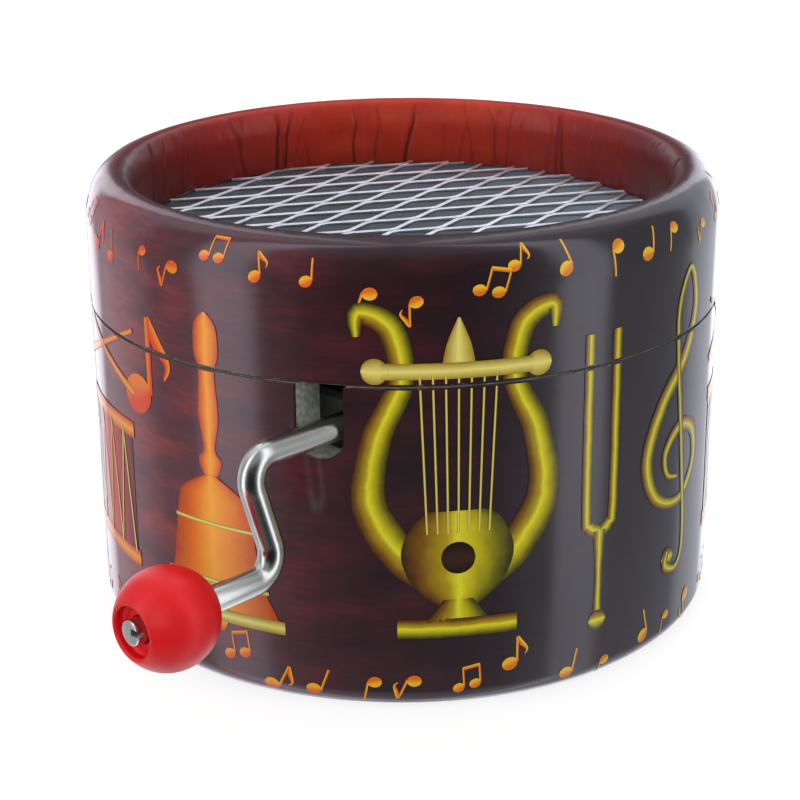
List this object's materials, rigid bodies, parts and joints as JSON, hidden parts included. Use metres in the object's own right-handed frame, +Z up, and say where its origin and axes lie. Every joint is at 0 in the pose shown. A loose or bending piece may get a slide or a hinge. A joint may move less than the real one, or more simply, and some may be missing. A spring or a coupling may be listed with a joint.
{
  "type": "hand-cranked music box",
  "caption": "Small round card music box: a wire crank with a ball knob drives a pinned cylinder and steel comb under an expanded-metal grille.",
  "frame": {"origin": "centre of the base disc's underside, on the surface that the box stands on", "axes": "+Z up along the box's axis; the crank leaves the box towards -Y; the pinned cylinder lies along X"},
  "size_m": [0.052, 0.0675, 0.037],
  "materials": {
    "board": "grey card",
    "printed_paper": "glossy laminated print",
    "dark_film": "glossy",
    "grille_aluminium": "bright",
    "plated_steel": "zinc plated",
    "zinc_casting": "as cast",
    "comb_steel": "ground",
    "lead_grey": "dull",
    "brass": "turned",
    "white_nylon": "moulded",
    "bright_nickel": "bright nickel plate",
    "red_plastic": "semi-gloss"
  },
  "bodies": {
    "body": {"body_tube": "board", "body_wrap": "printed_paper", "neck_ring": "board", "base_disc": "board", "base_screws": "plated_steel", "bedplate": "zinc_casting", "crank_bracket": "plated_steel", "bracket_screws": "plated_steel", "comb": "comb_steel", "tuning_weights": "lead_grey", "comb_screws": "plated_steel", "front_bushing": "brass", "rear_bushing": "brass"},
    "lid": {"lid_tube": "board", "rim_ring": "board", "lid_wrap": "printed_paper", "support_ring": "board", "film_disc": "dark_film", "grille": "grille_aluminium"},
    "crank": {"crank_wire": "bright_nickel", "worm": "white_nylon", "shaft_collar": "plated_steel"},
    "knob": {"knob": "red_plastic"},
    "cylinder": {"pinned_cylinder": "brass", "left_cylinder_cap": "brass", "right_cylinder_cap": "brass", "cylinder_arbor": "plated_steel", "worm_wheel": "white_nylon"}
  },
  "joints": [
    {"name": "lid_lift", "type": "slide", "parent": "body", "child": "lid", "axis": [0, 0, 1], "range_m": [0, 0.02]},
    {"name": "crank_spin", "type": "hinge", "parent": "body", "child": "crank", "pos_m": [0.01373, -0.0045, 0.0227], "axis": [0, 1, 0], "continuous": true},
    {"name": "knob_spin", "type": "hinge", "parent": "crank", "child": "knob", "pos_m": [0.01519, -0.03822, 0.0139], "axis": [0, 1, 0], "continuous": true},
    {"name": "cylinder_spin", "type": "hinge", "parent": "body", "child": "cylinder", "pos_m": [0, -0.0045, 0.0144], "axis": [1, 0, 0], "continuous": true}
  ],
  "couplings": [
    {"joint": "crank_spin", "follows": "cylinder_spin", "ratio": 16}
  ]
}
